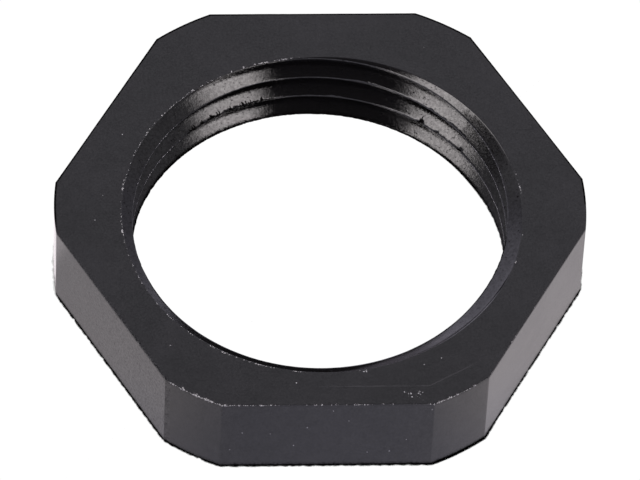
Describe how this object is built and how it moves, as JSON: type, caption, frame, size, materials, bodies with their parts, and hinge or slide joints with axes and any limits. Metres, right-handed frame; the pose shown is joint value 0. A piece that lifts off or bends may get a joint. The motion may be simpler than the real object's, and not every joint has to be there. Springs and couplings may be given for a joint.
{
  "type": "cable gland locknut",
  "caption": "Flat hexagonal locknut with turned-down corners and a right-hand metric thread right through it, for clamping a cable gland to a panel.",
  "frame": {"origin": "centre of the lower face, on the thread axis", "axes": "+Z along the thread axis from the lower face to the upper face; +Y square to a pair of spanner flats; +X through a pair of turned corners"},
  "size_m": [0.0262, 0.024, 0.005],
  "materials": {
    "black_polyamide": "satin black moulded polyamide, roughness about 0.45, torn and frosted on the thread flanks"
  },
  "bodies": {
    "root": {"locknut": "black_polyamide"}
  },
  "joints": []
}
